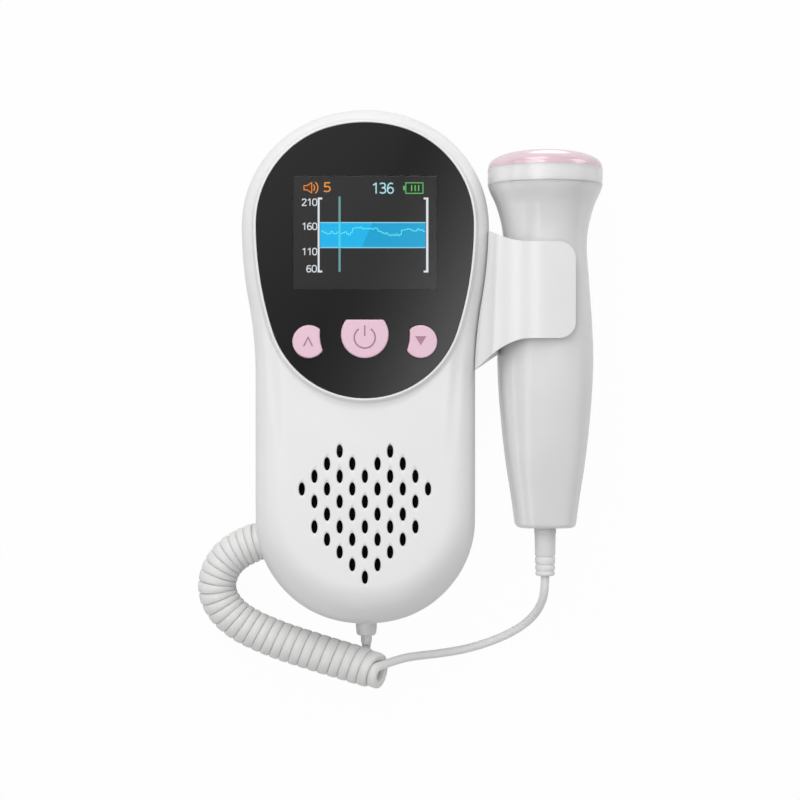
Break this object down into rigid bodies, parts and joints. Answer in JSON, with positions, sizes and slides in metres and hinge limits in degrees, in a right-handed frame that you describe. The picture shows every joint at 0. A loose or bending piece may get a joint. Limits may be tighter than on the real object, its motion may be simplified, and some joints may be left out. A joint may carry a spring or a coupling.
{
  "type": "fetal doppler monitor",
  "caption": "Hand-held fetal heartbeat monitor with a screen, pressable keys and a slotted speaker, and a probe on a curly cord held in a side clip.",
  "frame": {"origin": "centre of the flat back, which the monitor lies on", "axes": "+X to the right across the face, towards the probe; +Y towards the top of the face; +Z out of the face"},
  "size_m": [0.1191, 0.1696, 0.0337],
  "materials": {
    "case_plastic": "satin white moulded case plastic",
    "clip_plastic": "satin white moulded plastic",
    "panel_black": "polished black panel",
    "window_clear": "clear polished window",
    "screen_face": "dark colour display, lit",
    "frame_metal": "thin folded metal frame",
    "ribbon_amber": "amber film",
    "key_pink": "satin pale pink",
    "board_green": "green lacquered board",
    "switch_metal": "pressed metal with black plungers",
    "screw_steel": "plated steel",
    "speaker_frame": "black painted basket",
    "cone_paper": "dark pressed paper",
    "gasket_foam": "soft foam",
    "mesh_cloth": "fine black woven mesh",
    "battery_jacket": "printed film over a steel can",
    "contact_plate": "nickel plated spring steel",
    "jack_black": "black moulded socket",
    "plug_metal": "nickel plated plug pin",
    "cord_vinyl": "pale grey soft vinyl",
    "probe_white": "glossy white",
    "dome_pink": "soft pink, slightly glossy",
    "crystal_ceramic": "silvered ceramic discs",
    "backing_rubber": "loaded rubber",
    "relief_rubber": "pale grey soft rubber"
  },
  "bodies": {
    "case": {"back_shell": "case_plastic", "front_shell": "case_plastic", "front_panel": "panel_black", "display_window": "window_clear", "display_frame": "frame_metal", "display_screen": "screen_face", "display_ribbon": "ribbon_amber", "main_board": "board_green", "key_switches": "switch_metal", "board_screws": "screw_steel", "case_screws": "screw_steel", "holder_screws": "screw_steel", "speaker": "speaker_frame", "speaker_cone": "cone_paper", "speaker_gasket": "gasket_foam", "speaker_mesh": "mesh_cloth", "left_battery": "battery_jacket", "right_battery": "battery_jacket", "battery_contacts": "contact_plate", "battery_springs": "contact_plate", "jack_socket": "jack_black", "plug_pin": "plug_metal", "cord_plug": "cord_vinyl", "plug_lead": "cord_vinyl", "curly_cord": "cord_vinyl", "probe_lead": "cord_vinyl", "probe_holder": "clip_plastic"},
    "up_key": {"up_button": "key_pink"},
    "power_key": {"power_button": "key_pink"},
    "down_key": {"down_button": "key_pink"},
    "cover": {"battery_cover": "case_plastic"},
    "probe": {"probe_front_shell": "probe_white", "probe_back_shell": "probe_white", "probe_head_ring": "probe_white", "transducer_face": "dome_pink", "piezo_crystals": "crystal_ceramic", "crystal_backing": "backing_rubber", "probe_board": "board_green", "strain_relief": "relief_rubber"}
  },
  "joints": [
    {"name": "up_press", "type": "slide", "parent": "case", "child": "up_key", "axis": [0, 0, -1], "range_m": [0, 0.0008], "stiffness_N_per_m": 1000, "springref_m": -0.0003},
    {"name": "power_press", "type": "slide", "parent": "case", "child": "power_key", "axis": [0, 0, -1], "range_m": [0, 0.0008], "stiffness_N_per_m": 1000, "springref_m": -0.0003},
    {"name": "down_press", "type": "slide", "parent": "case", "child": "down_key", "axis": [0, 0, -1], "range_m": [0, 0.0008], "stiffness_N_per_m": 1000, "springref_m": -0.0003},
    {"name": "cover_slide", "type": "slide", "parent": "case", "child": "cover", "axis": [0, -1, 0], "range_m": [0, 0.01]},
    {"name": "probe_pull", "type": "slide", "parent": "case", "child": "probe", "axis": [1, 0, 0], "range_m": [0, 0.045]}
  ]
}
